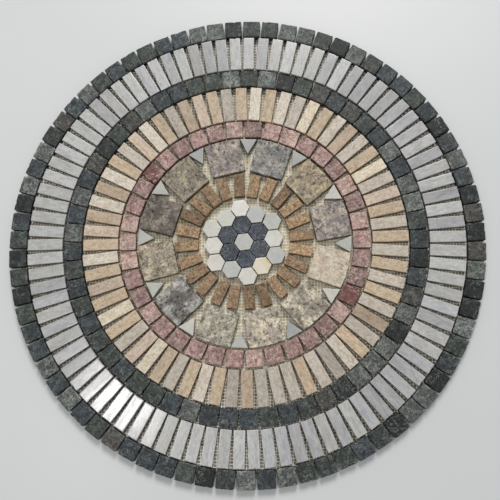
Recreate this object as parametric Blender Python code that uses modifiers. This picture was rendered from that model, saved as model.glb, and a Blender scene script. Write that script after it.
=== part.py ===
"""Marble mosaic medallion: rings of cut stone around a rosette of hexagons, on a round glass-fibre net.

Run with: blender --background --python part.py
Metres, +Z up. The origin is the centre of the net's underside, which lies on the floor or in the
mortar bed. Every ring takes its radius from the ring inside it, so one changed stone moves the rest.
"""

import math

import bmesh
import bpy
from mathutils import Matrix, Vector

# Heights
NET_THICKNESS = 0.0006
BED_GAP = 0.0003  # the dried glue between the net and the stones
FILM_THICKNESS = 0.0005  # the glue that runs on between the feet of a ring's stones
STONE_THICKNESS = 0.0091

# Joints between the rings
RING_JOINT = 0.0017
ROSETTE_JOINT = 0.0009  # between the rosette's nearest corner and the brown bricks
SLAB_OUTER_JOINT = 0.0021
FILM_LAP = 0.0001  # the glue runs on this far past the ends of a ring's stones
FILM_SAG = 0.0008  # the most that the glue's straight edges cut off its round outline
NET_EDGE_SHARE = 0.50  # the net is trimmed this far out along the outermost stones
NET_SIDES = 75

# Hexagon rosette: one in the middle, six dark, twelve pale
HEX_FLATS = 0.0212
HEX_JOINT = 0.0011
ROSETTE_TURN = math.radians(6.5)
ROSETTE_DRIFT = (-0.0004, -0.0016)  # the rosette was laid this far off the middle

# Slabs of travertine with a white triangle between each two
SLAB_COUNT = 12
SLAB_LENGTH = 0.0462
SLAB_JOINT = 0.0043  # between the inner corners of two slabs
SLAB_TURN = math.radians(12.7)
SLAB_ARC_POINTS = 4
TRIANGLE_BASE = 0.0220
TRIANGLE_HEIGHT = 0.0205
TRIANGLE_JOINT = 0.0009

# Rectangular stones. The squares are laid in the edge ring and the inner green ring, and the
# bricks in the white ring and the cream ring.
SQUARE_SIDE = 0.0226
ROSE_SIDE = 0.0218
BRICK_LENGTH = 0.0455
BRICK_WIDTH = 0.0143
SHORT_BRICK_LENGTH = 0.0300
SHORT_BRICK_WIDTH = 0.0134

# Rings: radial length and width of a stone, joint to the neighbour at the inner edge, and the
# angle of the first stone in degrees
BROWN_BRICKS = (SHORT_BRICK_LENGTH, SHORT_BRICK_WIDTH, 0.0014, 5.3)
ROSE_SQUARES = (ROSE_SIDE, ROSE_SIDE, 0.0010, 0.2)
CREAM_BRICKS = (BRICK_LENGTH, BRICK_WIDTH, 0.0015, 1.2)
GREEN_SQUARES = (SQUARE_SIDE, SQUARE_SIDE, 0.0004, 0.0)
WHITE_BRICKS = (BRICK_LENGTH, BRICK_WIDTH, 0.0019, 0.7)
EDGE_SQUARES = (SQUARE_SIDE, SQUARE_SIDE, 0.0008, 1.7)

BED = NET_THICKNESS + BED_GAP
TOP = BED + STONE_THICKNESS

FINISHES = {
    "green marble": ((0.065, 0.080, 0.075), 0.55),
    "white marble": ((0.58, 0.58, 0.57), 0.40),
    "cream marble": ((0.52, 0.43, 0.31), 0.50),
    "rose marble": ((0.40, 0.22, 0.19), 0.50),
    "travertine": ((0.33, 0.29, 0.24), 0.60),
    "brown travertine": ((0.30, 0.20, 0.11), 0.60),
    "dark marble": ((0.060, 0.065, 0.080), 0.45),
    "glass-fibre net": ((0.62, 0.58, 0.42), 0.60),
}


def clear_scene():
    for old in list(bpy.data.objects):
        bpy.data.objects.remove(old, do_unlink=True)


def new_collection(name):
    made = bpy.data.collections.new(name)
    bpy.context.scene.collection.children.link(made)
    return made


def make_material(name):
    """A Principled BSDF with the finish's colour and roughness."""
    colour, roughness = FINISHES[name]
    made = bpy.data.materials.new(name)
    made.use_nodes = True
    shader = made.node_tree.nodes["Principled BSDF"]
    shader.inputs["Base Color"].default_value = (*colour, 1.0)
    shader.inputs["Roughness"].default_value = roughness
    shader.inputs["Metallic"].default_value = 0.0
    return made


def add_object(name, data, collection, finish=None):
    made = bpy.data.objects.new(name, data)
    collection.objects.link(made)
    if finish:
        data.materials.append(bpy.data.materials.get(finish) or make_material(finish))
    return made


def turned(angle):
    return Matrix.Rotation(angle, 4, "Z")


def outline_stone(name, points, collection, finish):
    """A stone cut to a flat outline of (x, y) points, as thick as the others, standing on the bed."""
    curve = bpy.data.curves.new(name, "CURVE")
    curve.dimensions = "2D"
    curve.fill_mode = "BOTH"
    curve.extrude = STONE_THICKNESS / 2
    spline = curve.splines.new("POLY")
    spline.points.add(len(points) - 1)
    for point, (x, y) in zip(spline.points, points):
        point.co = (x, y, 0.0, 1.0)
    spline.use_cyclic_u = True
    stone = add_object(name, curve, collection, finish)
    stone.location.z = BED + STONE_THICKNESS / 2
    return stone


def hexagon(name, centre, collection, finish):
    """A six-sided prism with flats left and right of its pointing direction, turned with the rosette."""
    mesh = bpy.data.meshes.new(name)
    form = bmesh.new()
    radius = HEX_FLATS / math.sqrt(3)
    bmesh.ops.create_cone(
        form, cap_ends=True, segments=6, radius1=radius, radius2=radius, depth=STONE_THICKNESS
    )
    bmesh.ops.rotate(form, verts=form.verts, matrix=turned(math.radians(30)))
    form.to_mesh(mesh)
    form.free()
    stone = add_object(name, mesh, collection, finish)
    stone.location = (centre.x, centre.y, BED + STONE_THICKNESS / 2)
    stone.rotation_euler.z = ROSETTE_TURN
    return stone


def rosette(collection):
    """Nineteen hexagons on a triangular grid. Returns how far they reach from the medallion's middle."""
    pitch = HEX_FLATS + HEX_JOINT
    middle = Vector(ROSETTE_DRIFT)
    steps = [
        pitch * Vector((math.cos(a), math.sin(a)))
        for a in (ROSETTE_TURN + math.radians(30 + 60 * side) for side in range(6))
    ]
    hexagon("centre_hexagon", middle, collection, "white marble")
    for side in range(6):
        near, following = steps[side], steps[(side + 1) % 6]
        tip, between = f"pale_hexagon_{2 * side + 1:02d}", f"pale_hexagon_{2 * side + 2:02d}"
        hexagon(f"dark_hexagon_{side + 1}", middle + near, collection, "dark marble")
        hexagon(tip, middle + 2 * near, collection, "white marble")
        hexagon(between, middle + near + following, collection, "white marble")
    half_side = HEX_FLATS / math.sqrt(3) / 2
    return middle.length + math.hypot(2 * pitch + HEX_FLATS / 2, half_side)


def slab_outline(inner_radius, outer_radius):
    """A slab pointing along +Y: straight inner edge and sides, and an outer edge on the ring's arc."""
    share = math.pi / SLAB_COUNT
    half_inner = inner_radius * math.tan(share) - SLAB_JOINT / 2
    gap = TRIANGLE_BASE + 2 * TRIANGLE_JOINT
    half_outer_angle = share - math.asin(gap / 2 / outer_radius)
    points = [(-half_inner, inner_radius), (half_inner, inner_radius)]
    for i in range(SLAB_ARC_POINTS):
        angle = half_outer_angle * (1 - 2 * i / (SLAB_ARC_POINTS - 1))
        points.append((outer_radius * math.sin(angle), outer_radius * math.cos(angle)))
    return points


def triangle_outline(outer_radius):
    """A triangle with its base in the outer gap between two slabs and its tip towards the centre."""
    base_radius = math.sqrt(outer_radius**2 - (TRIANGLE_BASE / 2) ** 2)
    tip = (0.0, base_radius - TRIANGLE_HEIGHT)
    return [tip, (TRIANGLE_BASE / 2, base_radius), (-TRIANGLE_BASE / 2, base_radius)]


def slabs_and_triangles(inner_radius, collection):
    """The ring of slabs, with a triangle half a step on from each. Returns its outer radius."""
    outer_radius = inner_radius + SLAB_LENGTH
    step = 2 * math.pi / SLAB_COUNT
    for i in range(SLAB_COUNT):
        slab = outline_stone(
            f"travertine_slab_{i + 1:02d}",
            slab_outline(inner_radius, outer_radius),
            collection,
            "travertine",
        )
        slab.rotation_euler.z = SLAB_TURN + i * step
        triangle = outline_stone(
            f"white_triangle_{i + 1:02d}", triangle_outline(outer_radius), collection, "white marble"
        )
        triangle.rotation_euler.z = SLAB_TURN + (i + 0.5) * step
    return outer_radius


def ring_stones(name, angles, inner_radius, length, width, collection):
    """The loose stones of a ring, each a block that stands radially, as one helper mesh."""
    foot = BED + FILM_THICKNESS / 2
    mesh = bpy.data.meshes.new(name)
    form = bmesh.new()
    centre = Matrix.Translation((inner_radius + length / 2, 0.0, (foot + TOP) / 2))
    size = Matrix.Diagonal((length, width, TOP - foot, 1.0))
    for angle in angles:
        bmesh.ops.create_cube(form, size=1.0, matrix=turned(angle) @ centre @ size)
    form.to_mesh(mesh)
    form.free()
    return add_object(name, mesh, collection)


def glue_film(name, inner_radius, outer_radius, sides, start, collection, finish):
    """A thin flat band, turned from its rectangular section. Its corners lie on the two radii."""
    low, high = BED, BED + FILM_THICKNESS
    along = Vector((math.cos(start), math.sin(start), 0.0))
    section = [
        outer_radius * along + Vector((0.0, 0.0, high)),
        outer_radius * along + Vector((0.0, 0.0, low)),
        inner_radius * along + Vector((0.0, 0.0, low)),
        inner_radius * along + Vector((0.0, 0.0, high)),
    ]
    mesh = bpy.data.meshes.new(name)
    mesh.from_pydata(section, [(0, 1), (1, 2), (2, 3), (3, 0)], [])
    film = add_object(name, mesh, collection, finish)
    screw = film.modifiers.new("turn", "SCREW")
    screw.steps = screw.render_steps = sides
    screw.use_merge_vertices = True
    screw.merge_threshold = 0.00001
    screw.use_smooth_shade = False
    return film


def stone_ring(name, stone, inner_radius, collections, finish, film_end=None):
    """A ring of equal blocks, joined by the film of glue that they stand in. Returns how far it reaches.

    The film's corners lie in the joints between the stones. A small ring's film has more of them,
    so that its edges stay round.
    """
    length, width, joint, start = stone
    parts, helpers = collections
    count = int(2 * math.pi * inner_radius / (width + joint))
    step = 2 * math.pi / count
    reach = math.hypot(inner_radius + length, width / 2)

    angles = [math.radians(start) + i * step for i in range(count)]
    blocks = ring_stones(name + "_blocks", angles, inner_radius, length, width, helpers)
    blocks.hide_render = True
    blocks.display_type = "WIRE"

    widest_step = 2 * math.acos(1 - FILM_SAG / reach)
    sides = count * math.ceil(step / widest_step)
    film_end = film_end or (reach + FILM_LAP) / math.cos(math.pi / sides)
    first_corner = math.radians(start) + step / 2
    ring = glue_film(name, inner_radius - FILM_LAP, film_end, sides, first_corner, parts, finish)
    union = ring.modifiers.new("stones", "BOOLEAN")
    union.operation = "UNION"
    union.solver = "EXACT"
    union.object = blocks
    return reach


def net(radius, collection):
    """The round net that every stone is glued to, as a plain thin disc."""
    mesh = bpy.data.meshes.new("net_backing")
    form = bmesh.new()
    bmesh.ops.create_cone(
        form, cap_ends=True, segments=NET_SIDES, radius1=radius, radius2=radius, depth=NET_THICKNESS
    )
    form.to_mesh(mesh)
    form.free()
    disc = add_object("net_backing", mesh, collection, "glass-fibre net")
    disc.location.z = NET_THICKNESS / 2
    return disc


def main():
    clear_scene()
    parts = new_collection("marble medallion")
    both = (parts, new_collection("helpers"))
    reach = rosette(parts) + ROSETTE_JOINT
    reach = stone_ring("brown_bricks", BROWN_BRICKS, reach, both, "brown travertine")
    reach = slabs_and_triangles(reach + RING_JOINT, parts) + SLAB_OUTER_JOINT
    reach = stone_ring("rose_squares", ROSE_SQUARES, reach, both, "rose marble")
    reach = stone_ring("cream_bricks", CREAM_BRICKS, reach + RING_JOINT, both, "cream marble")
    reach = stone_ring("green_squares", GREEN_SQUARES, reach + RING_JOINT, both, "green marble")
    reach = stone_ring("white_bricks", WHITE_BRICKS, reach + RING_JOINT, both, "white marble")
    edge_inner = reach + RING_JOINT
    net_radius = edge_inner + NET_EDGE_SHARE * SQUARE_SIDE
    stone_ring("edge_squares", EDGE_SQUARES, edge_inner, both, "green marble", net_radius)
    net(net_radius, parts)


main()
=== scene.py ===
"""Looks of a round mosaic medallion: marble and travertine stones laid in rings on a net.

The rings, the slabs and the rosette are read from the frame as flat outlines, one for each stone,
and each stone is then built as a cut and tumbled block with its own colour and veining.
"""

import math

import bmesh
import bpy
import numpy as np
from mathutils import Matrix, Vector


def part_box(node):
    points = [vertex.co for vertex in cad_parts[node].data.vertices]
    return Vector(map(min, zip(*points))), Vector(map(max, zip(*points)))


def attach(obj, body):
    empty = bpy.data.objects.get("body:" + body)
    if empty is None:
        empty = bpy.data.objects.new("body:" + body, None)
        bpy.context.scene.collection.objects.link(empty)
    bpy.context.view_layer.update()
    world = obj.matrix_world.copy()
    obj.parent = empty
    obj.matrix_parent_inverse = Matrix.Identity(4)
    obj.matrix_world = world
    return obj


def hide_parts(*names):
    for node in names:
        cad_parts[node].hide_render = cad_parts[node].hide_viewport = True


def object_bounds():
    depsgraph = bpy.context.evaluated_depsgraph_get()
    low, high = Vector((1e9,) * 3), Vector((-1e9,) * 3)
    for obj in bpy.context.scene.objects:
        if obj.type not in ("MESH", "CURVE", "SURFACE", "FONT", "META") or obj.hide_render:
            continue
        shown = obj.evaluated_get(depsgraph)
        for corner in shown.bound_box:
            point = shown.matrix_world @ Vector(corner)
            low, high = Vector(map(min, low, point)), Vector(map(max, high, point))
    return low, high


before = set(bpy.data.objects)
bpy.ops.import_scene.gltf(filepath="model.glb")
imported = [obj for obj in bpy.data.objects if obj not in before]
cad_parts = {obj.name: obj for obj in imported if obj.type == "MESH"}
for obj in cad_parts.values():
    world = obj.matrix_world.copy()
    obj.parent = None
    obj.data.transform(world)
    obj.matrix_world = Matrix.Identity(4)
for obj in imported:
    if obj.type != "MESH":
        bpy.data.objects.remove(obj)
CAD_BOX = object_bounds()

# Heights and sizes, in metres
TOP = float(CAD_BOX[1][2])
NET_RADIUS = float(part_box("net_backing")[1][0])
NET_PITCH = 0.0040
STRAND_WIDTH = 0.0016
STRAND_THICKNESS = 0.00042
NET_LIFT = 0.00005
KNOT_WIDTH = 0.0027
KNOT_TOP = 0.00066
FILM_BOTTOM = 0.00014
FILM_TOP = 0.00021
FILM_WAVE = 0.00001
FILM_MARGIN = 0.0012  # about how far the film of glue stops short of the net's edge
NET_MARGIN = 0.0002  # how far the strands do at least
PULL = 0.0012  # how far the net is pulled out of true in long waves
PUCKER = 0.0006  # and in short ones

# How the stones are cut and laid: lengths in metres, slopes, a count and a gain
STONE_FOOT = 0.00012
DROP = (0.00006, 0.0004)  # least and most that a stone's highest corner lies below the top
TILT = 0.006  # usual slope of a stone's top
STEEPEST = 0.009
ARC_POINTS = 3  # points in each rounded corner
RIPPLE = 0.0001  # about how far a wall wanders in and out
PIT_SIZE = 0.0021
PIT_DEPTH = 0.0006
SWELL_SIZE = 0.008
SWELL_DEPTH = 0.00006  # half the depth of the soft hollows in a top
BLOTCH_SIZE = 0.020  # size of the blotches in which a stone's two colours meet
GRAIN_REACH = 5.0  # each stone's grain is moved by up to this much each way
FOOT_GLUE_AND_SHADE = (0.60, 0.53, 0.46)  # the walls darken towards the foot: partly glue and dust, partly painted shade deep in the joints between stones

# The photograph's camera: its place over the middle of the stones, and how far it tips
CAMERA_OFFSET = (0.0462, -0.1789)
CAMERA_HEIGHT = 0.8552
CAMERA_TILT = 11.0
CAMERA_LEAN = 2.587
LENS = 49.5

rng = np.random.default_rng(24)


# Colours

WHITE_VALUE = (1.0, 1.0, 1.0, 1.0)
LIGHTEST = 0.9  # no stone's own colour goes past this


def linear(code):
    """The linear colour of a hex code such as "c4c2c6"."""
    shown = np.array([int(code[i : i + 2], 16) for i in (0, 2, 4)]) / 255
    return np.where(shown <= 0.04045, shown / 12.92, ((shown + 0.055) / 1.055) ** 2.4)


def pick_tints(palette, count, spread):
    """A colour for each stone: drawn from (code, share) pairs, then made a little lighter or darker."""
    codes, shares = zip(*palette)
    chosen = rng.choice(len(codes), size=count, p=np.array(shares) / sum(shares))
    colours = np.array([linear(code) for code in codes])[chosen]
    return np.clip(colours * rng.normal(1.0, spread, (count, 1)), 0.0, LIGHTEST)


GREEN = [("212424", 0.14), ("343936", 0.31), ("32373a", 0.26), ("403f3c", 0.09), ("525553", 0.20)]
WHITE = [("b1b1b2", 0.26), ("b5b5b1", 0.32), ("bcbcba", 0.22), ("a9a9a9", 0.20)]
TAN = [("bfad95", 0.6), ("b6a48f", 0.4)]
CREAM = [("cfc6b8", 0.40), ("d6cbb6", 0.15), ("c9b8a6", 0.15), ("bbb3a7", 0.30)]
ROSE = [("907771", 0.40), ("a18a80", 0.30), ("836c66", 0.18), ("6c4a44", 0.12)]
BROWN = [("8b745b", 0.5), ("7a654e", 0.25), ("977f63", 0.25)]


# Node helpers


def add(tree, kind, values=None, **settings):
    """A node with its settings. values are its inputs by name, each a number or a socket to link."""
    made = tree.nodes.new(kind)
    for key, value in settings.items():
        setattr(made, key, value)
    for key, value in (values or {}).items():
        if isinstance(value, bpy.types.NodeSocket):
            tree.links.new(value, made.inputs[key])
        else:
            made.inputs[key].default_value = value
    return made


def mix(tree, factor, first, second, blend="MIX"):
    """A colour mix of two colours or sockets. The result stays within black and white."""
    made = add(
        tree,
        "ShaderNodeMix",
        {0: factor, 6: first, 7: second},
        data_type="RGBA",
        blend_type=blend,
        clamp_result=True,
    )
    return made.outputs[2]


def ramp(tree, value, low, high, to_low=0.0, to_high=1.0):
    """value taken smoothly from the range low..high to the range to_low..to_high."""
    values = {"Value": value, 1: low, 2: high, 3: to_low, 4: to_high}
    return add(tree, "ShaderNodeMapRange", values, interpolation_type="SMOOTHSTEP").outputs[0]


def maths(tree, operation, first, second=0.0):
    """The result of a calculation with one or two numbers or sockets."""
    made = add(tree, "ShaderNodeMath", {0: first, 1: second}, operation=operation)
    return made.outputs[0]


def noise(tree, vector, scale, detail=3.0, roughness=0.55, distortion=0.0):
    """Soft noise at the places that vector gives, mostly from 0.3 to 0.7."""
    values = {
        "Vector": vector,
        "Scale": scale,
        "Detail": detail,
        "Roughness": roughness,
        "Distortion": distortion,
    }
    return add(tree, "ShaderNodeTexNoise", values).outputs["Fac"]


def new_group(name, inputs, outputs):
    """A shader node group with named sockets, given as (name, kind, default) and (name, kind)."""
    tree = bpy.data.node_groups.new(name, "ShaderNodeTree")
    for label, kind, default in inputs:
        socket = tree.interface.new_socket(label, in_out="INPUT", socket_type="NodeSocket" + kind)
        if default is not None:
            socket.default_value = default
    for label, kind in outputs:
        tree.interface.new_socket(label, in_out="OUTPUT", socket_type="NodeSocket" + kind)
    return tree, add(tree, "NodeGroupInput").outputs, add(tree, "NodeGroupOutput").inputs


def new_material(name):
    """A material, its node tree and its surface shader."""
    made = bpy.data.materials.new(name)
    made.use_nodes = True
    return made, made.node_tree, made.node_tree.nodes["Principled BSDF"]


def bump(tree, shader, height, strength, distance):
    """Fine relief on a surface: height is a socket, and distance is what a height of 1 is in metres."""
    values = {"Height": height, "Strength": strength, "Distance": distance}
    tree.links.new(add(tree, "ShaderNodeBump", values).outputs[0], shader.inputs["Normal"])


def stone_group():
    """Clouds, smudges, veins, fine speckle, open pits and rubbed edges over a stone's own tint.

    Gains are colours that the tint is multiplied by.
    """
    inputs = [
        ("Grain", "Vector", None),
        ("Tint", "Color", WHITE_VALUE),
        ("Wear", "Float", 0.0),
        ("Hollow", "Float", 0.0),
        ("Cloud Gain", "Color", WHITE_VALUE),
        ("Cloud Scale", "Float", 150.0),
        ("Smudge Gain", "Color", WHITE_VALUE),
        ("Smudge Scale", "Float", 250.0),
        ("Smudge Amount", "Float", 0.6),
        ("Vein Tint", "Color", WHITE_VALUE),
        ("Vein Scale", "Float", 60.0),
        ("Vein Width", "Float", 0.03),
        ("Vein Amount", "Float", 0.5),
        ("Speckle Scale", "Float", 900.0),
        ("Speckle Amount", "Float", 0.3),
        ("Pit Gain", "Color", WHITE_VALUE),
        ("Pit Scale", "Float", 300.0),
        ("Pit Amount", "Float", 0.0),
        ("Edge Gain", "Color", WHITE_VALUE),
        ("Roughness", "Float", 0.5),
    ]
    outputs = [("Colour", "Color"), ("Height", "Float"), ("Roughness", "Float")]
    tree, given, result = new_group("natural stone", inputs, outputs)
    grain = given["Grain"]

    cloud = noise(tree, grain, given["Cloud Scale"], detail=6.0, roughness=0.68, distortion=0.5)
    cloud = ramp(tree, cloud, 0.46, 0.59)
    colour = mix(tree, cloud, given["Tint"], given["Cloud Gain"], "MULTIPLY")

    elsewhere = add(tree, "ShaderNodeVectorMath", {0: grain, 1: (3.1, 1.7, 0.9)}, operation="ADD")
    smudge = noise(tree, elsewhere.outputs[0], given["Smudge Scale"], detail=5.0, roughness=0.7)
    smudge = maths(tree, "MULTIPLY", ramp(tree, smudge, 0.50, 0.62), given["Smudge Amount"])
    colour = mix(tree, smudge, colour, given["Smudge Gain"], "MULTIPLY")

    crack = noise(tree, grain, given["Vein Scale"], detail=4.0, roughness=0.6, distortion=1.1)
    crack = maths(tree, "ABSOLUTE", maths(tree, "SUBTRACT", crack, 0.5))
    line = ramp(tree, maths(tree, "DIVIDE", crack, given["Vein Width"]), 0.0, 1.0, 1.0, 0.0)
    patch = ramp(tree, noise(tree, grain, 60.0, detail=1.0), 0.40, 0.60)
    vein = maths(tree, "MULTIPLY", maths(tree, "MULTIPLY", line, patch), given["Vein Amount"])
    colour = mix(tree, vein, colour, given["Vein Tint"])

    speck = noise(tree, grain, given["Speckle Scale"], detail=3.0, roughness=0.75)
    swing = maths(tree, "MULTIPLY", maths(tree, "SUBTRACT", speck, 0.5), given["Speckle Amount"])
    brightness = maths(tree, "MULTIPLY_ADD", swing, 4.0)
    brightness.node.inputs[2].default_value = 1.0
    scaled = add(tree, "ShaderNodeVectorMath", {0: colour, "Scale": brightness}, operation="SCALE")
    colour = scaled.outputs[0]

    cells = add(
        tree,
        "ShaderNodeTexVoronoi",
        {"Vector": grain, "Scale": given["Pit Scale"], "Randomness": 1.0},
        feature="F1",
    )
    chance = add(tree, "ShaderNodeSeparateColor", {0: cells.outputs["Color"]}).outputs[0]
    reach = maths(tree, "MULTIPLY", ramp(tree, chance, 0.45, 1.0, 0.0, 0.40), given["Pit Amount"])
    ragged = maths(tree, "MULTIPLY_ADD", maths(tree, "SUBTRACT", speck, 0.5), 0.9)
    tree.links.new(cells.outputs["Distance"], ragged.node.inputs[2])
    pit = ramp(tree, maths(tree, "SUBTRACT", ragged, reach), -0.10, 0.06, 1.0, 0.0)
    pit = maths(tree, "MAXIMUM", pit, given["Hollow"])
    colour = mix(tree, pit, colour, given["Pit Gain"], "MULTIPLY")

    rub = ramp(tree, noise(tree, grain, 500.0, detail=2.0), 0.30, 0.70, 0.3, 1.0)
    worn = maths(tree, "MULTIPLY", rub, given["Wear"])
    colour = mix(tree, worn, colour, given["Edge Gain"], "MULTIPLY")
    tree.links.new(colour, result["Colour"])

    height = maths(tree, "SUBTRACT", maths(tree, "MULTIPLY", speck, 0.5), pit)
    height = maths(tree, "SUBTRACT", height, maths(tree, "MULTIPLY", smudge, 0.2))
    tree.links.new(height, result["Height"])

    spread = maths(tree, "MULTIPLY", maths(tree, "SUBTRACT", cloud, 0.5), 0.05)
    rough = maths(tree, "ADD", given["Roughness"], spread)
    rough = maths(tree, "ADD", rough, maths(tree, "MULTIPLY", pit, 0.3))
    rough = maths(tree, "ADD", rough, maths(tree, "MULTIPLY", given["Wear"], 0.25))
    tree.links.new(rough, result["Roughness"])
    return tree


STONE_GROUP = stone_group()


def stone_material(name, stretch=(1.0, 1.0, 1.0), relief=0.0003, sheen=0.5, **values):
    """A stone: the natural stone group fed by the piece's own tint, grain, wear and hollow attributes.

    stretch scales the pattern along the stone's length, width and height, so that bedding can run
    along it. relief is how deep the bump goes, and sheen is how much light the bare surface mirrors.
    """
    made, tree, shader = new_material(name)
    grain = add(tree, "ShaderNodeAttribute", attribute_name="grain").outputs["Vector"]
    inputs = {
        "Grain": add(tree, "ShaderNodeMapping", {"Vector": grain, "Scale": stretch}).outputs[0],
        "Tint": add(tree, "ShaderNodeAttribute", attribute_name="tint").outputs["Color"],
        "Wear": add(tree, "ShaderNodeAttribute", attribute_name="wear").outputs["Fac"],
        "Hollow": add(tree, "ShaderNodeAttribute", attribute_name="hollow").outputs["Fac"],
    }
    for key, value in values.items():
        if key.endswith("_gain"):
            value = np.ones(3) * value
        elif key.endswith("_tint"):
            value = linear(value)
        inputs[key.replace("_", " ").title()] = value if np.isscalar(value) else (*value, 1.0)
    pattern = add(tree, "ShaderNodeGroup", inputs, node_tree=STONE_GROUP)
    tree.links.new(pattern.outputs["Colour"], shader.inputs["Base Color"])
    tree.links.new(pattern.outputs["Roughness"], shader.inputs["Roughness"])
    shader.inputs["Specular IOR Level"].default_value = sheen
    bump(tree, shader, pattern.outputs["Height"], 0.7, relief)
    return made


# Outlines


def footprints(node):
    """The outlines of a node's stones from above, counter-clockwise and in order round the middle.

    They are the node's top faces, each stone's triangles joined into one.
    """
    form = bmesh.new()
    form.from_mesh(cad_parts[node].data)
    bmesh.ops.remove_doubles(form, verts=form.verts, dist=1e-6)
    lower = [face for face in form.faces if face.calc_center_median().z < TOP - 1e-4]
    bmesh.ops.delete(form, geom=lower, context="FACES")
    bmesh.ops.dissolve_limit(form, angle_limit=0.02, verts=form.verts, edges=form.edges)
    outlines = np.array([[vert.co[:2] for vert in face.verts] for face in form.faces])
    form.free()
    middle = outlines.mean(axis=1)
    return outlines[np.argsort(np.arctan2(middle[:, 1], middle[:, 0]))]


def own_axes(outlines):
    """Each stone's middle, and the direction that it points away from the medallion's middle."""
    middle = outlines.mean(axis=1)
    angle = np.arctan2(middle[:, 1], middle[:, 0])
    return middle, np.stack([np.cos(angle), np.sin(angle)], axis=-1)


def laid_by_hand(outlines, trim, out, across, turn, skew):
    """The outlines as laid by hand.

    Each is trimmed by up to trim, turned by about turn degrees, moved outwards by a length in the
    range out and sideways by up to across. Each of its corners is off by up to skew.
    """
    middle, away = own_axes(outlines)
    count = len(outlines)
    loose = outlines - middle[:, None] + rng.uniform(-skew, skew, outlines.shape)
    half = np.linalg.norm(loose, axis=2).mean(axis=1)[:, None, None]
    trimmed = loose * (1 - rng.uniform(0.0, trim, (count, 1, 1)) / half)
    angle = np.radians(turn) * np.clip(rng.normal(0.0, 0.6, count), -1, 1)
    cos, sin = np.cos(angle)[:, None], np.sin(angle)[:, None]
    x, y = trimmed[..., 0], trimmed[..., 1]
    turned = np.stack([cos * x - sin * y, sin * x + cos * y], axis=-1)
    outward = rng.uniform(*out, (count, 1))
    aside = rng.uniform(-across, across, (count, 1))
    sideways = np.stack([-away[:, 1], away[:, 0]], axis=-1)
    return turned + (middle + outward * away + aside * sideways)[:, None]


def rounded(outlines, inset, radius, steps, between):
    """Points round each outline moved in by inset, every corner an arc of its own radius.

    An arc's middle is the corner of the outline moved in by inset + radius, and it runs from the
    normal of one side to the normal of the next. Between two arcs the side is cut into even steps.
    Returns the points and the way that each faces.
    """
    side = np.roll(outlines, -1, axis=1) - outlines
    side = side / np.linalg.norm(side, axis=2, keepdims=True)
    normal = np.stack([side[..., 1], -side[..., 0]], axis=-1)
    before = np.roll(normal, 1, axis=1)
    dot = (before * normal).sum(axis=-1)
    cross = before[..., 0] * normal[..., 1] - before[..., 1] * normal[..., 0]
    mitre = (before + normal) / (1 + dot)[..., None]
    core = outlines - (inset + radius)[..., None] * mitre
    start = np.arctan2(before[..., 1], before[..., 0])
    angle = start[..., None] + np.arctan2(cross, dot)[..., None] * np.linspace(0, 1, steps)
    arc = np.stack([np.cos(angle), np.sin(angle)], axis=-1)
    bends = core[:, :, None] + radius[..., None, None] * arc
    share = np.arange(1, between + 1)[:, None] / (between + 1)
    leave, arrive = bends[:, :, -1:], np.roll(bends, -1, axis=1)[:, :, :1]
    sides = leave + (arrive - leave) * share
    ways = np.broadcast_to(normal[:, :, None], sides.shape)
    points = np.concatenate([bends, sides], axis=2).reshape(len(outlines), -1, 2)
    return points, np.concatenate([arc, ways], axis=2).reshape(points.shape)


def wander(share, low, high):
    """A random closed curve for each stone, about -1 to 1: waves that go round low to high times."""
    turns = np.arange(low, high + 1)
    size = rng.normal(0.0, 1.0, (len(share), 1, len(turns))) / math.sqrt(len(turns))
    start = rng.uniform(0, 2 * math.pi, size.shape)
    return (size * np.sin(2 * math.pi * share[..., None] * turns + start)).sum(axis=-1)


def blotches(flat, size):
    """A random smooth pattern over flat places, about -1 to 1: plane waves of lengths near size."""
    angle = np.radians(np.arange(0, 180, 15)) + rng.uniform(0, 0.2, 12)
    length = size * rng.uniform(0.6, 1.9, 12)
    ahead = flat[..., :1] * np.cos(angle) + flat[..., 1:2] * np.sin(angle)
    return np.sin(2 * math.pi * ahead / length + rng.uniform(0, 7, 12)).sum(axis=-1) / 3.4


def open_pits(flat, outline, number, size):
    """How deep the open pits of each stone go at its flat places, from 0 to 1.

    A pit is an oval bowl that is longer along the stone. Its middle is a random share of the way
    from the stone's middle to a random point of its outline.
    """
    count = len(flat)
    row = np.arange(count)[:, None]
    chosen = outline[row, rng.integers(0, outline.shape[1], (count, number))]
    middle = chosen * np.sqrt(rng.uniform(0.0, 0.9, (count, number, 1)))
    radius = size * rng.uniform(0.4, 1.0, (count, 1, number)) ** 2
    depth = rng.uniform(0.5, 1.0, (count, 1, number))
    away = (flat[:, :, None] - middle[:, None]) / np.array([1.5, 1.0])
    bowl = np.clip(1.6 * (1 - np.linalg.norm(away, axis=-1) / radius), 0.0, 1.0)
    return (bowl * bowl * (3 - 2 * bowl) * depth).max(axis=-1)


# Meshes


def write_mesh(name, places, faces, material, flat=(), attributes=None):
    """A piece made of points and faces. flat lists the faces that aren't shaded smooth."""
    mesh = bpy.data.meshes.new(name)
    mesh.from_pydata(places.reshape(-1, 3), [], faces)
    smooth = np.ones(len(mesh.polygons), bool)
    smooth[list(flat)] = False
    mesh.polygons.foreach_set("use_smooth", smooth)
    for label, kind, field, values in attributes or []:
        layer = mesh.attributes.new(label, kind, "POINT")
        layer.data.foreach_set(field, np.ascontiguousarray(values, dtype=np.float32).ravel())
    mesh.materials.append(material)
    mesh.update()
    made = bpy.data.objects.new(name, mesh)
    bpy.context.scene.collection.objects.link(made)
    return made


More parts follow.
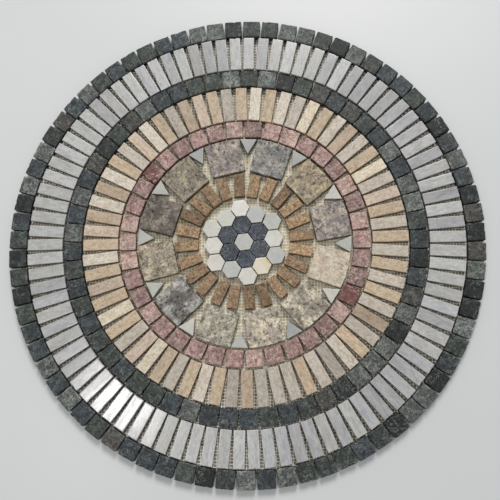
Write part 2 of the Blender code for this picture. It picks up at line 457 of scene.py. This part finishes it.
def shell_faces(count, levels, around):
    """Faces of count closed shells, each a stack of levels rings with a flat face at both ends.

    Returns the faces, and which of them are the flat ones.
    """
    first = np.arange(count)[:, None, None] * levels * around
    level = np.arange(levels - 1)[None, :, None] * around
    here = np.arange(around)[None, None, :]
    after = (here + 1) % around
    low, low_next = first + level + here, first + level + after
    quads = np.stack([low, low_next, low_next + around, low + around], axis=-1).reshape(-1, 4)
    ring = np.arange(around)
    bases = (first[:, 0] + ring)[:, ::-1]
    caps = first[:, 0] + (levels - 1) * around + ring
    faces = quads.tolist() + bases.tolist() + caps.tolist()
    return faces, range(len(quads), len(faces))


def cut_stones(name, outlines, tints, material, corner, edge, between=6, bite=0.0005, tops=0, pits=0):
    """Blocks on the given outlines, each with its own tint, lie and grain.

    A profile is carried round the outline: up the wall, round an edge, a little way in over the top
    and then in tops more rings to the middle. The wall wanders a little, and here and there a chip
    of depth bite is out of the edge. tints holds two colours a stone, which meet in soft blotches.
    pits is the number of open pits in a stone's top. corner and edge are usual radii, and between
    is the number of points along a side.
    """
    count, corners = outlines.shape[:2]
    middle, away = own_axes(outlines)
    bend = 1 - math.sqrt(0.5)
    # Inset and height as shares of the edge radius, wear, and how far a chip moves it in and down
    profile = [
        (0.0, None, 0.2, 0.0, 0.0),
        (0.0, -1.0, 0.6, 0.6, 0.8),
        (bend, -bend, 1.0, 1.0, 0.9),
        (1.0, 0.0, 0.5, 1.0, 0.5),
        (2.0, 0.0, 0.0, 0.8, 0.0),
    ]
    radius = corner * rng.uniform(0.5, 1.5, (count, corners))
    bevel = edge * rng.uniform(0.7, 1.4, (count, 1))
    below = rng.uniform(*DROP, (count, 1))
    tilt = np.clip(rng.normal(0.0, TILT, (count, 2)), -STEEPEST, STEEPEST)
    drop = below + ((outlines - middle[:, None]) * tilt[:, None]).sum(axis=-1).max(axis=1)[:, None]
    foot, _ = rounded(outlines, np.zeros_like(radius), radius, ARC_POINTS, between)
    walked = np.cumsum(np.linalg.norm(foot - np.roll(foot, 1, axis=1), axis=-1), axis=1)
    share = walked / walked[:, -1:]
    # Ripples and chips fade out towards the corners, so that no corner folds over itself
    fade = np.sin(np.pi * np.arange(1, between + 1) / (between + 1)) ** 0.5
    fade = np.tile(np.concatenate([np.zeros(ARC_POINTS), fade]), corners)
    ripple = RIPPLE * fade * wander(share, 2, 9)
    chip = bite * fade * np.clip(1.4 * wander(share, 6, 26) - 1.0, 0.0, 1.4)

    rings = []
    for inset, height, wear, inwards, downwards in profile:
        reach = np.maximum(radius - inset * bevel, 0.15 * corner)
        set_in = inset * bevel * np.ones_like(radius)
        flat, facing = rounded(outlines, set_in, reach, ARC_POINTS, between)
        flat = flat + facing * (ripple - inwards * chip)[..., None]
        if height is None:
            level = np.full(flat.shape[:2], STONE_FOOT)
        else:
            level = TOP - drop + height * bevel - downwards * chip
            level = level + ((flat - middle[:, None]) * tilt[:, None]).sum(axis=-1)
        worn = np.full(flat.shape[:2], wear)
        rings.append(np.concatenate([flat, level[..., None], worn[..., None]], axis=-1))
    # The last ring over the top is a very small one, and its flat face closes the stone
    rim = rings[-1][..., :2]
    for step in range(tops):
        left = 1 - (step + 1) / (tops + 0.2)
        flat = middle[:, None] + left * (rim - middle[:, None])
        level = TOP - drop + ((flat - middle[:, None]) * tilt[:, None]).sum(axis=-1)
        rings.append(np.concatenate([flat, level[..., None], np.zeros_like(level)[..., None]], axis=-1))
    places = np.stack(rings, axis=1)
    places, wear = places[..., :3], places[..., 3]

    local = places[..., :2] - middle[:, None, None]
    along = (local * away[:, None, None]).sum(axis=-1)
    across = local[..., 1] * away[:, None, None, 0] - local[..., 0] * away[:, None, None, 1]
    own = np.stack([along, across], axis=-1)
    shape = along.shape
    hollow = np.zeros(shape)
    if pits:
        outline = own[:, len(profile) - 1]
        upper = own[:, len(profile) - 2 :]
        depth = open_pits(upper.reshape(count, -1, 2), outline, pits, PIT_SIZE)
        hollow[:, len(profile) - 2 :] = depth.reshape(upper.shape[:3])
        places[..., 2] -= PIT_DEPTH * hollow
        swell = np.clip(blotches(places[:, len(profile) :, :, :2], SWELL_SIZE), -1.0, 1.0)
        places[:, len(profile) :, :, 2] -= SWELL_DEPTH * (1 + swell)

    faces, flat_faces = shell_faces(count, shape[1], shape[2])
    moved = rng.uniform(-GRAIN_REACH, GRAIN_REACH, (count, 1, 1, 3))
    grain = np.concatenate([own, places[..., 2:]], axis=-1) + moved
    patch = np.clip(0.4 + 1.1 * blotches(grain[..., :2], BLOTCH_SIZE), 0.0, 1.0)[..., None]
    colours = tints[:, None, None, 0] * (1 - patch) + tints[:, None, None, 1] * patch
    # Painted shade: each wall grows darker and browner towards its foot, partly for glue and dust and
    # partly for the shade deep in the joints
    colours[:, 0] *= FOOT_GLUE_AND_SHADE
    attributes = [
        ("grain", "FLOAT_VECTOR", "vector", grain),
        ("tint", "FLOAT_COLOR", "color", np.concatenate([colours, np.ones((*shape, 1))], axis=-1)),
        ("wear", "FLOAT", "value", wear),
        ("hollow", "FLOAT", "value", hollow),
    ]
    return write_mesh(name, places, faces, material, [] if tops else flat_faces, attributes)


def lay(piece, slot, *nodes):
    """The piece rides on the medallion's one body and stands for its nodes; slot is not used."""
    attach(piece, "root")
    if nodes:
        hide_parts(*nodes)


# Stone finishes

green_marble = stone_material(
    "green marble",
    cloud_gain=(2.05, 2.09, 2.0),
    cloud_scale=150.0,
    smudge_gain=0.38,
    smudge_scale=260.0,
    smudge_amount=0.9,
    vein_tint="8c908c",
    vein_scale=85.0,
    vein_width=0.024,
    vein_amount=0.45,
    speckle_scale=560.0,
    speckle_amount=1.1,
    edge_gain=1.7,
    roughness=0.58,
    sheen=0.30,
)
white_marble = stone_material(
    "white marble",
    stretch=(0.35, 1.0, 1.0),
    cloud_gain=(0.86, 0.86, 0.87),
    cloud_scale=170.0,
    smudge_gain=(0.76, 0.76, 0.78),
    smudge_scale=330.0,
    smudge_amount=0.6,
    vein_tint="86868c",
    vein_scale=60.0,
    vein_width=0.02,
    vein_amount=0.35,
    speckle_scale=520.0,
    speckle_amount=0.18,
    edge_gain=1.08,
    roughness=0.185,
    relief=0.00003,
)
cream_marble = stone_material(
    "cream marble",
    stretch=(0.55, 1.0, 1.0),
    cloud_gain=(0.84, 0.80, 0.76),
    cloud_scale=230.0,
    smudge_gain=(0.66, 0.62, 0.57),
    smudge_scale=400.0,
    smudge_amount=0.6,
    vein_tint="9c8062",
    vein_scale=60.0,
    vein_width=0.02,
    vein_amount=0.25,
    speckle_scale=520.0,
    speckle_amount=0.28,
    edge_gain=1.10,
    roughness=0.52,
    sheen=0.4,
)
rose_marble = stone_material(
    "rose marble",
    cloud_gain=(1.50, 1.50, 1.50),
    cloud_scale=170.0,
    smudge_gain=(0.52, 0.38, 0.38),
    smudge_scale=210.0,
    smudge_amount=0.9,
    vein_tint="c9aea6",
    vein_scale=90.0,
    vein_width=0.035,
    vein_amount=0.8,
    speckle_scale=400.0,
    speckle_amount=0.6,
    edge_gain=1.15,
    roughness=0.58,
    sheen=0.35,
)
travertine = stone_material(
    "travertine",
    cloud_gain=(1.68, 1.66, 1.62),
    cloud_scale=115.0,
    smudge_gain=(0.35, 0.34, 0.35),
    smudge_scale=185.0,
    smudge_amount=0.9,
    vein_tint="b6ae9e",
    vein_scale=80.0,
    vein_width=0.05,
    vein_amount=0.35,
    speckle_scale=420.0,
    speckle_amount=0.55,
    pit_gain=(0.40, 0.38, 0.36),
    pit_scale=420.0,
    pit_amount=0.35,
    edge_gain=1.10,
    roughness=0.60,
    relief=0.0005,
    sheen=0.35,
)
pale_travertine = stone_material(
    "pale travertine",
    cloud_gain=(1.22, 1.22, 1.22),
    cloud_scale=85.0,
    smudge_gain=(0.66, 0.62, 0.60),
    smudge_scale=140.0,
    smudge_amount=0.7,
    vein_tint="c4b8a6",
    vein_scale=80.0,
    vein_width=0.05,
    vein_amount=0.35,
    speckle_scale=420.0,
    speckle_amount=0.30,
    pit_gain=(0.55, 0.50, 0.46),
    pit_scale=420.0,
    pit_amount=0.2,
    edge_gain=1.10,
    roughness=0.60,
    relief=0.0004,
    sheen=0.35,
)
brown_travertine = stone_material(
    "brown travertine",
    stretch=(0.9, 1.0, 1.0),
    cloud_gain=(1.45, 1.45, 1.42),
    cloud_scale=230.0,
    smudge_gain=(0.66, 0.58, 0.52),
    smudge_scale=320.0,
    smudge_amount=0.8,
    vein_tint="523a24",
    vein_scale=120.0,
    vein_width=0.03,
    vein_amount=0.15,
    speckle_scale=420.0,
    speckle_amount=0.70,
    pit_gain=(0.62, 0.56, 0.50),
    pit_scale=420.0,
    pit_amount=0.2,
    edge_gain=1.10,
    roughness=0.62,
    relief=0.0005,
    sheen=0.35,
)
dark_marble = stone_material(
    "dark marble",
    cloud_gain=2.1,
    cloud_scale=220.0,
    smudge_gain=0.45,
    smudge_scale=330.0,
    smudge_amount=0.8,
    vein_tint="8d9299",
    vein_scale=130.0,
    vein_width=0.022,
    vein_amount=0.55,
    speckle_scale=420.0,
    speckle_amount=0.90,
    edge_gain=3.2,
    roughness=0.50,
    sheen=0.35,
)
pale_marble = stone_material(
    "pale marble",
    cloud_gain=(0.93, 0.93, 0.92),
    cloud_scale=110.0,
    smudge_gain=0.88,
    smudge_scale=320.0,
    smudge_amount=0.5,
    vein_tint="9b9c9e",
    vein_scale=50.0,
    vein_width=0.02,
    vein_amount=0.12,
    speckle_scale=600.0,
    speckle_amount=0.12,
    edge_gain=1.10,
    roughness=0.42,
    relief=0.00012,
)


# Rings of small stones


def pairs(tints, swing):
    """Two colours for each stone: the second is off by about swing in lightness, and a little in hue."""
    second = tints * rng.normal(1.0, swing, (len(tints), 1)) * rng.normal(1.0, 0.008, tints.shape)
    return np.stack([tints, np.clip(second, 0.0, LIGHTEST)], axis=1)


def cream_tints(count):
    """Tan and cream by turns, with now and then a cream stone where a tan one would be."""
    tan = pick_tints(TAN, count, 0.05)
    cream = pick_tints(CREAM, count, 0.08)
    by_turns = (np.arange(count) % 2 == 0) & (rng.random(count) > 0.12)
    return np.where(by_turns[:, None], tan, cream)


def ring(node, slot, material, palette, hand, cut, spread=0.08, swing=0.15):
    """The stones of one ring, laid as hand says and cut as cut says.

    palette is a list for pick_tints with its spread, or a function of the number of stones. swing is
    how far the two colours of a stone are apart.
    """
    outlines = laid_by_hand(footprints(node), **hand)
    tints = palette(len(outlines)) if callable(palette) else pick_tints(palette, len(outlines), spread)
    piece = cut_stones(node + "_stones", outlines, pairs(tints, swing), material, **cut)
    lay(piece, slot, node)


EDGE_HAND = dict(trim=0.0006, out=(-0.0006, 0.0), across=0.0003, turn=1.2, skew=0.0002)
WHITE_HAND = dict(trim=0.0003, out=(-0.0004, 0.0004), across=0.0003, turn=0.5, skew=0.0001)
GREEN_HAND = dict(trim=0.0003, out=(-0.0003, 0.0003), across=0.0001, turn=0.6, skew=0.00015)
CREAM_HAND = dict(trim=0.0003, out=(-0.0005, 0.0005), across=0.0004, turn=0.7, skew=0.0001)
ROSE_HAND = dict(trim=0.0006, out=(-0.0003, 0.0003), across=0.0003, turn=1.6, skew=0.0002)
BROWN_HAND = dict(trim=0.0004, out=(-0.0005, 0.0005), across=0.0007, turn=2.0, skew=0.0003)
EDGE_CUT = dict(corner=0.0013, edge=0.0009, bite=0.0008)
BRICK_CUT = dict(corner=0.0006, edge=0.0005)
GREEN_CUT = dict(corner=0.0012, edge=0.0007, bite=0.0007)
ROSE_CUT = dict(corner=0.0010, edge=0.0006, bite=0.0006)
BROWN_CUT = dict(corner=0.0008, edge=0.0006, tops=14, pits=5)

ring("edge_squares", "green_marble", green_marble, GREEN, EDGE_HAND, EDGE_CUT, swing=0.12)
ring("white_bricks", "white_marble", white_marble, WHITE, WHITE_HAND, BRICK_CUT, spread=0.04, swing=0.08)
ring("green_squares", "green_marble", green_marble, GREEN, GREEN_HAND, GREEN_CUT, swing=0.12)
ring("cream_bricks", "cream_marble", cream_marble, cream_tints, CREAM_HAND, BRICK_CUT, swing=0.07)
ring("rose_squares", "rose_marble", rose_marble, ROSE, ROSE_HAND, ROSE_CUT, swing=0.12)
ring("brown_bricks", "brown_travertine", brown_travertine, BROWN, BROWN_HAND, BROWN_CUT)


# Slabs, triangles and hexagons, one piece for each CAD node


def single(nodes, slot, material, tints, hand, cut):
    """A stone for each node, in its own pair of colours."""
    for node, pair in zip(nodes, tints):
        outlines = laid_by_hand(footprints(node), **hand)
        colours = np.array([[linear(code) for code in pair]])
        piece = cut_stones(node + "_stone", outlines, colours, material, **cut)
        lay(piece, slot, node)


SLAB_HAND = dict(trim=0.0004, out=(-0.0003, 0.0003), across=0.0004, turn=0.8, skew=0.0003)
SMALL_HAND = dict(trim=0.0001, out=(-0.0002, 0.0002), across=0.0002, turn=1.0, skew=0.0001)
SLAB_CUT = dict(corner=0.0012, edge=0.0006, between=16, tops=36, pits=26)
TRIANGLE_CUT = dict(corner=0.0006, edge=0.0004)
HEXAGON_CUT = dict(corner=0.0005, edge=0.0005)

# Each stone's pair of colours, in the order of the nodes
MAUVE = ("7b7371", "928a80")
OLIVE = ("746d62", "877e6c")
UMBER = ("554f49", "6e665e")
OAT = ("998f7f", "877d6b")
SMOKE = ("565350", "908e8a")
SAND = ("8d887a", "9d988a")
WARM_SAND = ("a0978a", "aaa18f")
BLOTCHED = ("aaa191", "837c70")
BLUSH = ("c2b8a6", "bbad99")
RUSSET = ("8a7e6d", "958870")
SLATE = ("86837d", "6e6d6b")
SLAB_TINTS = [MAUVE, OLIVE, UMBER, OAT, SMOKE, SAND, WARM_SAND, BLOTCHED, BLUSH, MAUVE, RUSSET, SLATE]
PALE = ("c6c3bb", "bdbbb4")
ASH = ("b3b3ac", "adaea8")
GREY = ("a4a5a2", "9ea09f")
TRIANGLE_TINTS = [GREY, ASH, ASH, ASH, PALE, ASH, GREY, PALE, ASH, PALE, GREY, GREY]
DARK_TINTS = [("343840", "3b4047"), ("3c4147", "31353b")] * 3
CENTRE = ("bbbab5", "b5b4b0")
BRIGHT = ("dedcd5", "d6d4cd")
WARM = ("d3cfc7", "cbc8bf")
SOFT = ("c9c8bf", "c2c2bb")
COOL = ("b8b8b4", "b3b3b0")
OCHRE = ("d9d2c0", "cbb98f")
PALE_TINTS = [CENTRE, COOL, COOL, BRIGHT, SOFT, SOFT, WARM, WARM, COOL, WARM, OCHRE, COOL, WARM]

slabs = [f"travertine_slab_{i:02d}" for i in range(1, 13)]
triangles = [f"white_triangle_{i:02d}" for i in range(1, 13)]
dark_hexagons = [f"dark_hexagon_{i}" for i in range(1, 7)]
pale_hexagons = ["centre_hexagon", *(f"pale_hexagon_{i:02d}" for i in range(1, 13))]

for slab, tints in zip(slabs, SLAB_TINTS):
    stone = pale_travertine if tints is BLUSH else travertine
    single([slab], "travertine", stone, [tints], SLAB_HAND, SLAB_CUT)
single(triangles, "white_marble", pale_marble, TRIANGLE_TINTS, SMALL_HAND, TRIANGLE_CUT)
single(dark_hexagons, "dark_marble", dark_marble, DARK_TINTS, SMALL_HAND, HEXAGON_CUT)
single(pale_hexagons, "white_marble", pale_marble, PALE_TINTS, SMALL_HAND, HEXAGON_CUT)


# Net and glue


def net_group():
    """Colour of the net or its glue, one near the middle and another outside, darker where it is soaked."""
    inputs = [(label, "Color", WHITE_VALUE) for label in ("Inside", "Outside", "Soaked")]
    outputs = [("Colour", "Color"), ("Height", "Float")]
    tree, given, result = new_group("glued net", inputs, outputs)
    place = add(tree, "ShaderNodeTexCoord").outputs["Object"]
    out = add(tree, "ShaderNodeVectorMath", {0: place}, operation="LENGTH").outputs["Value"]
    uneven = maths(tree, "SUBTRACT", noise(tree, place, 22.0, detail=3.0), 0.5)
    drift = maths(tree, "ADD", out, maths(tree, "MULTIPLY", uneven, 0.16))
    colour = mix(tree, ramp(tree, drift, 0.150, 0.205), given["Inside"], given["Outside"])
    thick = ramp(tree, noise(tree, place, 130.0, detail=4.0), 0.48, 0.66)
    colour = mix(tree, thick, colour, given["Soaked"], "MULTIPLY")
    tree.links.new(colour, result["Colour"])
    tree.links.new(noise(tree, place, 900.0, detail=3.0), result["Height"])
    return tree


NET_GROUP = net_group()


def net_material(name, inside, outside, soaked, roughness):
    """Net or glue: the glued net group with its three colours."""
    made, tree, shader = new_material(name)
    colours = {"Inside": inside, "Outside": outside, "Soaked": soaked}
    inputs = {key: (*linear(code), 1.0) for key, code in colours.items()}
    pattern = add(tree, "ShaderNodeGroup", inputs, node_tree=NET_GROUP)
    tree.links.new(pattern.outputs["Colour"], shader.inputs["Base Color"])
    shader.inputs["Roughness"].default_value = roughness
    bump(tree, shader, pattern.outputs["Height"], 0.6, 0.0003)
    return made


def stretched(x, y):
    """Where a point of the even net lies once the net is pulled a little out of true by hand.

    It is moved by a long wave and a short one each way, and kept inside the net's edge.
    """
    pulled_x = x + PULL * np.sin(7.0 * y + 1.0) + PUCKER * np.sin(23.0 * y + 11.0 * x)
    pulled_y = y + PULL * np.sin(6.0 * x + 2.0) + PUCKER * np.sin(19.0 * x - 13.0 * y)
    size = np.minimum(1.0, (NET_RADIUS - NET_MARGIN) / np.maximum(np.hypot(pulled_x, pulled_y), 1e-9))
    return pulled_x * size, pulled_y * size


def net_strands(name, crossways, material):
    """One family of the net's strands, each a low ridge that goes over and under the other family.

    A strand has a corner at every crossing, a pitch apart, and rises or falls by the net's lift there.
    """
    half = int((NET_RADIUS - NET_PITCH / 2) / NET_PITCH)
    places, faces = [], []
    total = 0
    for row in range(-half, half + 1):
        side = row * NET_PITCH
        reach = int(math.sqrt(NET_RADIUS**2 - side**2) / NET_PITCH)
        knots = np.arange(-reach, reach + 1)
        along = knots * NET_PITCH
        lift = NET_LIFT * np.where((knots + row + crossways) % 2 == 0, 1.0, -1.0)
        base = NET_LIFT + lift
        across = side + np.array([-STRAND_WIDTH / 2, STRAND_WIDTH / 2, 0.0])
        u = np.repeat(along[:, None], 3, axis=1)
        v = np.repeat(across[None], len(knots), axis=0)
        z = base[:, None] + np.array([0.0, 0.0, STRAND_THICKNESS])
        x, y = stretched(v, u) if crossways else stretched(u, v)
        places.append(np.stack([x, y, z], axis=-1).reshape(-1, 3))
        step = total + 3 * np.arange(len(knots) - 1)[:, None]
        corner = np.arange(3)[None]
        following = (corner + 1) % 3
        quads = np.stack([step + corner, step + 3 + corner, step + 3 + following, step + following], -1)
        quads = quads.reshape(-1, 4)
        end = total + 3 * (len(knots) - 1)
        start_cap, end_cap = [total, total + 1, total + 2], [end + 2, end + 1, end]
        if crossways:
            quads = quads[:, ::-1]
            start_cap, end_cap = start_cap[::-1], end_cap[::-1]
        faces += quads.tolist() + [start_cap, end_cap]
        total += 3 * len(knots)
    return write_mesh(name, np.concatenate(places), faces, material)


def glue_film(name, material, rings=70, spokes=240):
    """A thin round sheet. Its height and its edge wander by small sums of waves."""
    angle = np.linspace(0, 2 * math.pi, spokes, endpoint=False)
    edge = NET_RADIUS - FILM_MARGIN + 0.0006 * np.sin(9 * angle) + 0.0004 * np.sin(31 * angle + 1.0)
    share = np.linspace(0.01, 1.0, rings)[:, None]
    x, y = share * edge * np.cos(angle), share * edge * np.sin(angle)
    wave = np.sin(170 * x + 60 * y) + np.sin(140 * y - 90 * x) + np.sin(310 * x) * np.sin(290 * y)
    upper = np.stack([x, y, FILM_TOP + FILM_WAVE * wave], axis=-1)
    lower = np.stack([x, y, np.full_like(x, FILM_BOTTOM)], axis=-1)
    places = np.concatenate([lower, upper[::-1]])
    faces, flat = shell_faces(1, 2 * rings, spokes)
    return write_mesh(name, places, faces, material, flat)


def net_knots(name, material):
    """A drop of glue on every crossing of the net: a low pyramid on a square turned by 45 degrees."""
    half = int(NET_RADIUS / NET_PITCH)
    even = np.arange(-half, half + 1) * NET_PITCH
    x, y = (grid.ravel() for grid in np.meshgrid(even, even))
    held = np.hypot(x, y) < NET_RADIUS - NET_PITCH
    x, y = stretched(x[held], y[held])
    size = KNOT_WIDTH / 2 * rng.uniform(0.7, 1.2, (len(x), 1))
    corner = np.array([[1, 0, 0], [0, 1, 0], [-1, 0, 0], [0, -1, 0], [0, 0, 0]])
    places = np.empty((len(x), 5, 3))
    places[..., 0] = x[:, None] + size * corner[:, 0]
    places[..., 1] = y[:, None] + size * corner[:, 1]
    places[..., 2] = np.array([FILM_BOTTOM] * 4 + [KNOT_TOP])
    first = 5 * np.arange(len(x))[:, None]
    sides = [first + np.array([[i, (i + 1) % 4, 4]]) for i in range(4)]
    faces = np.concatenate(sides).tolist() + (first + np.array([[3, 2, 1, 0]])).tolist()
    return write_mesh(name, places, faces, material)


strands = net_material("glass-fibre strands", "f4f2ea", "f8f6f0", "ece7d2", 0.55)
# The glue outside is darker: partly greyer glue, partly painted shade for the net's openings in the narrow,
# deep joints of the outer rings
glue = net_material("dried glue", "c9be9e", "8d8676", "bdb292", 0.45)
lay(glue_film("glue_film", glue), "glass_fibre_net", "net_backing")
lay(net_strands("net_warp", False, strands), "glass_fibre_net")
lay(net_strands("net_weft", True, strands), "glass_fibre_net")
lay(net_knots("net_knots", strands), "glass_fibre_net")


# Floor, light and camera

FLOOR_SIZE = 12.0
ROOM_COLOUR = (0.97, 0.98, 1.0, 1.0)
ROOM_STRENGTH = 0.42
SENSOR_WIDTH = 36.0


def floor():
    """A pale floor as a large flat sheet."""
    made_of, tree, shader = new_material("pale floor")
    place = add(tree, "ShaderNodeTexCoord").outputs["Object"]
    faint = noise(tree, place, 3.0, detail=3.0)
    colour = mix(tree, faint, (*linear("cacccd"), 1.0), (*linear("d2d3d3"), 1.0))
    tree.links.new(colour, shader.inputs["Base Color"])
    shader.inputs["Roughness"].default_value = 0.45
    half = FLOOR_SIZE / 2
    corners = np.array([[-half, -half, 0], [half, -half, 0], [half, half, 0], [-half, half, 0]])
    sheet = write_mesh("floor", corners, [[0, 1, 2, 3]], made_of, [0])


def aim(thing, target):
    """Turn a light so that it shines at target."""
    back = np.array(thing.location) - np.array(target)
    flat = math.hypot(back[0], back[1])
    thing.rotation_euler = (math.atan2(flat, back[2]), 0.0, math.atan2(back[1], back[0]) + math.pi / 2)


def area_light(name, place, target, size, power, colour):
    """A round soft light at place, shining at target."""
    light = bpy.data.lights.new(name, "AREA")
    light.shape = "DISK"
    light.size = size
    light.energy = power
    light.color = colour
    made = bpy.data.objects.new(name, light)
    made.location = place
    bpy.context.scene.collection.objects.link(made)
    aim(made, target)


floor()
area_light(
    "window",
    place=(0.35, 2.9, 3.0),
    target=(0.0, 0.0, 0.0),
    size=1.8,
    power=118.0,
    colour=(1.0, 0.99, 0.97),
)
# This one puts the bright reflection on the white bricks at the lower left
area_light(
    "ceiling lamp",
    place=(-0.62, -0.26, 2.0),
    target=(-0.155, -0.2, 0.0),
    size=0.24,
    power=6.5,
    colour=(1.0, 0.98, 0.94),
)

world = bpy.data.worlds.new("room")
world.use_nodes = True
world.node_tree.nodes["Background"].inputs["Color"].default_value = ROOM_COLOUR
world.node_tree.nodes["Background"].inputs["Strength"].default_value = ROOM_STRENGTH
bpy.context.scene.world = world
bpy.context.scene.view_settings.view_transform = "Standard"

lens = bpy.data.cameras.new("camera")
lens.lens = LENS
lens.sensor_width = SENSOR_WIDTH
camera = bpy.data.objects.new("camera", lens)
camera.location = (*CAMERA_OFFSET, TOP + CAMERA_HEIGHT)
camera.rotation_euler = (math.radians(CAMERA_TILT), math.radians(CAMERA_LEAN), 0.0)
bpy.context.scene.collection.objects.link(camera)
bpy.context.scene.camera = camera
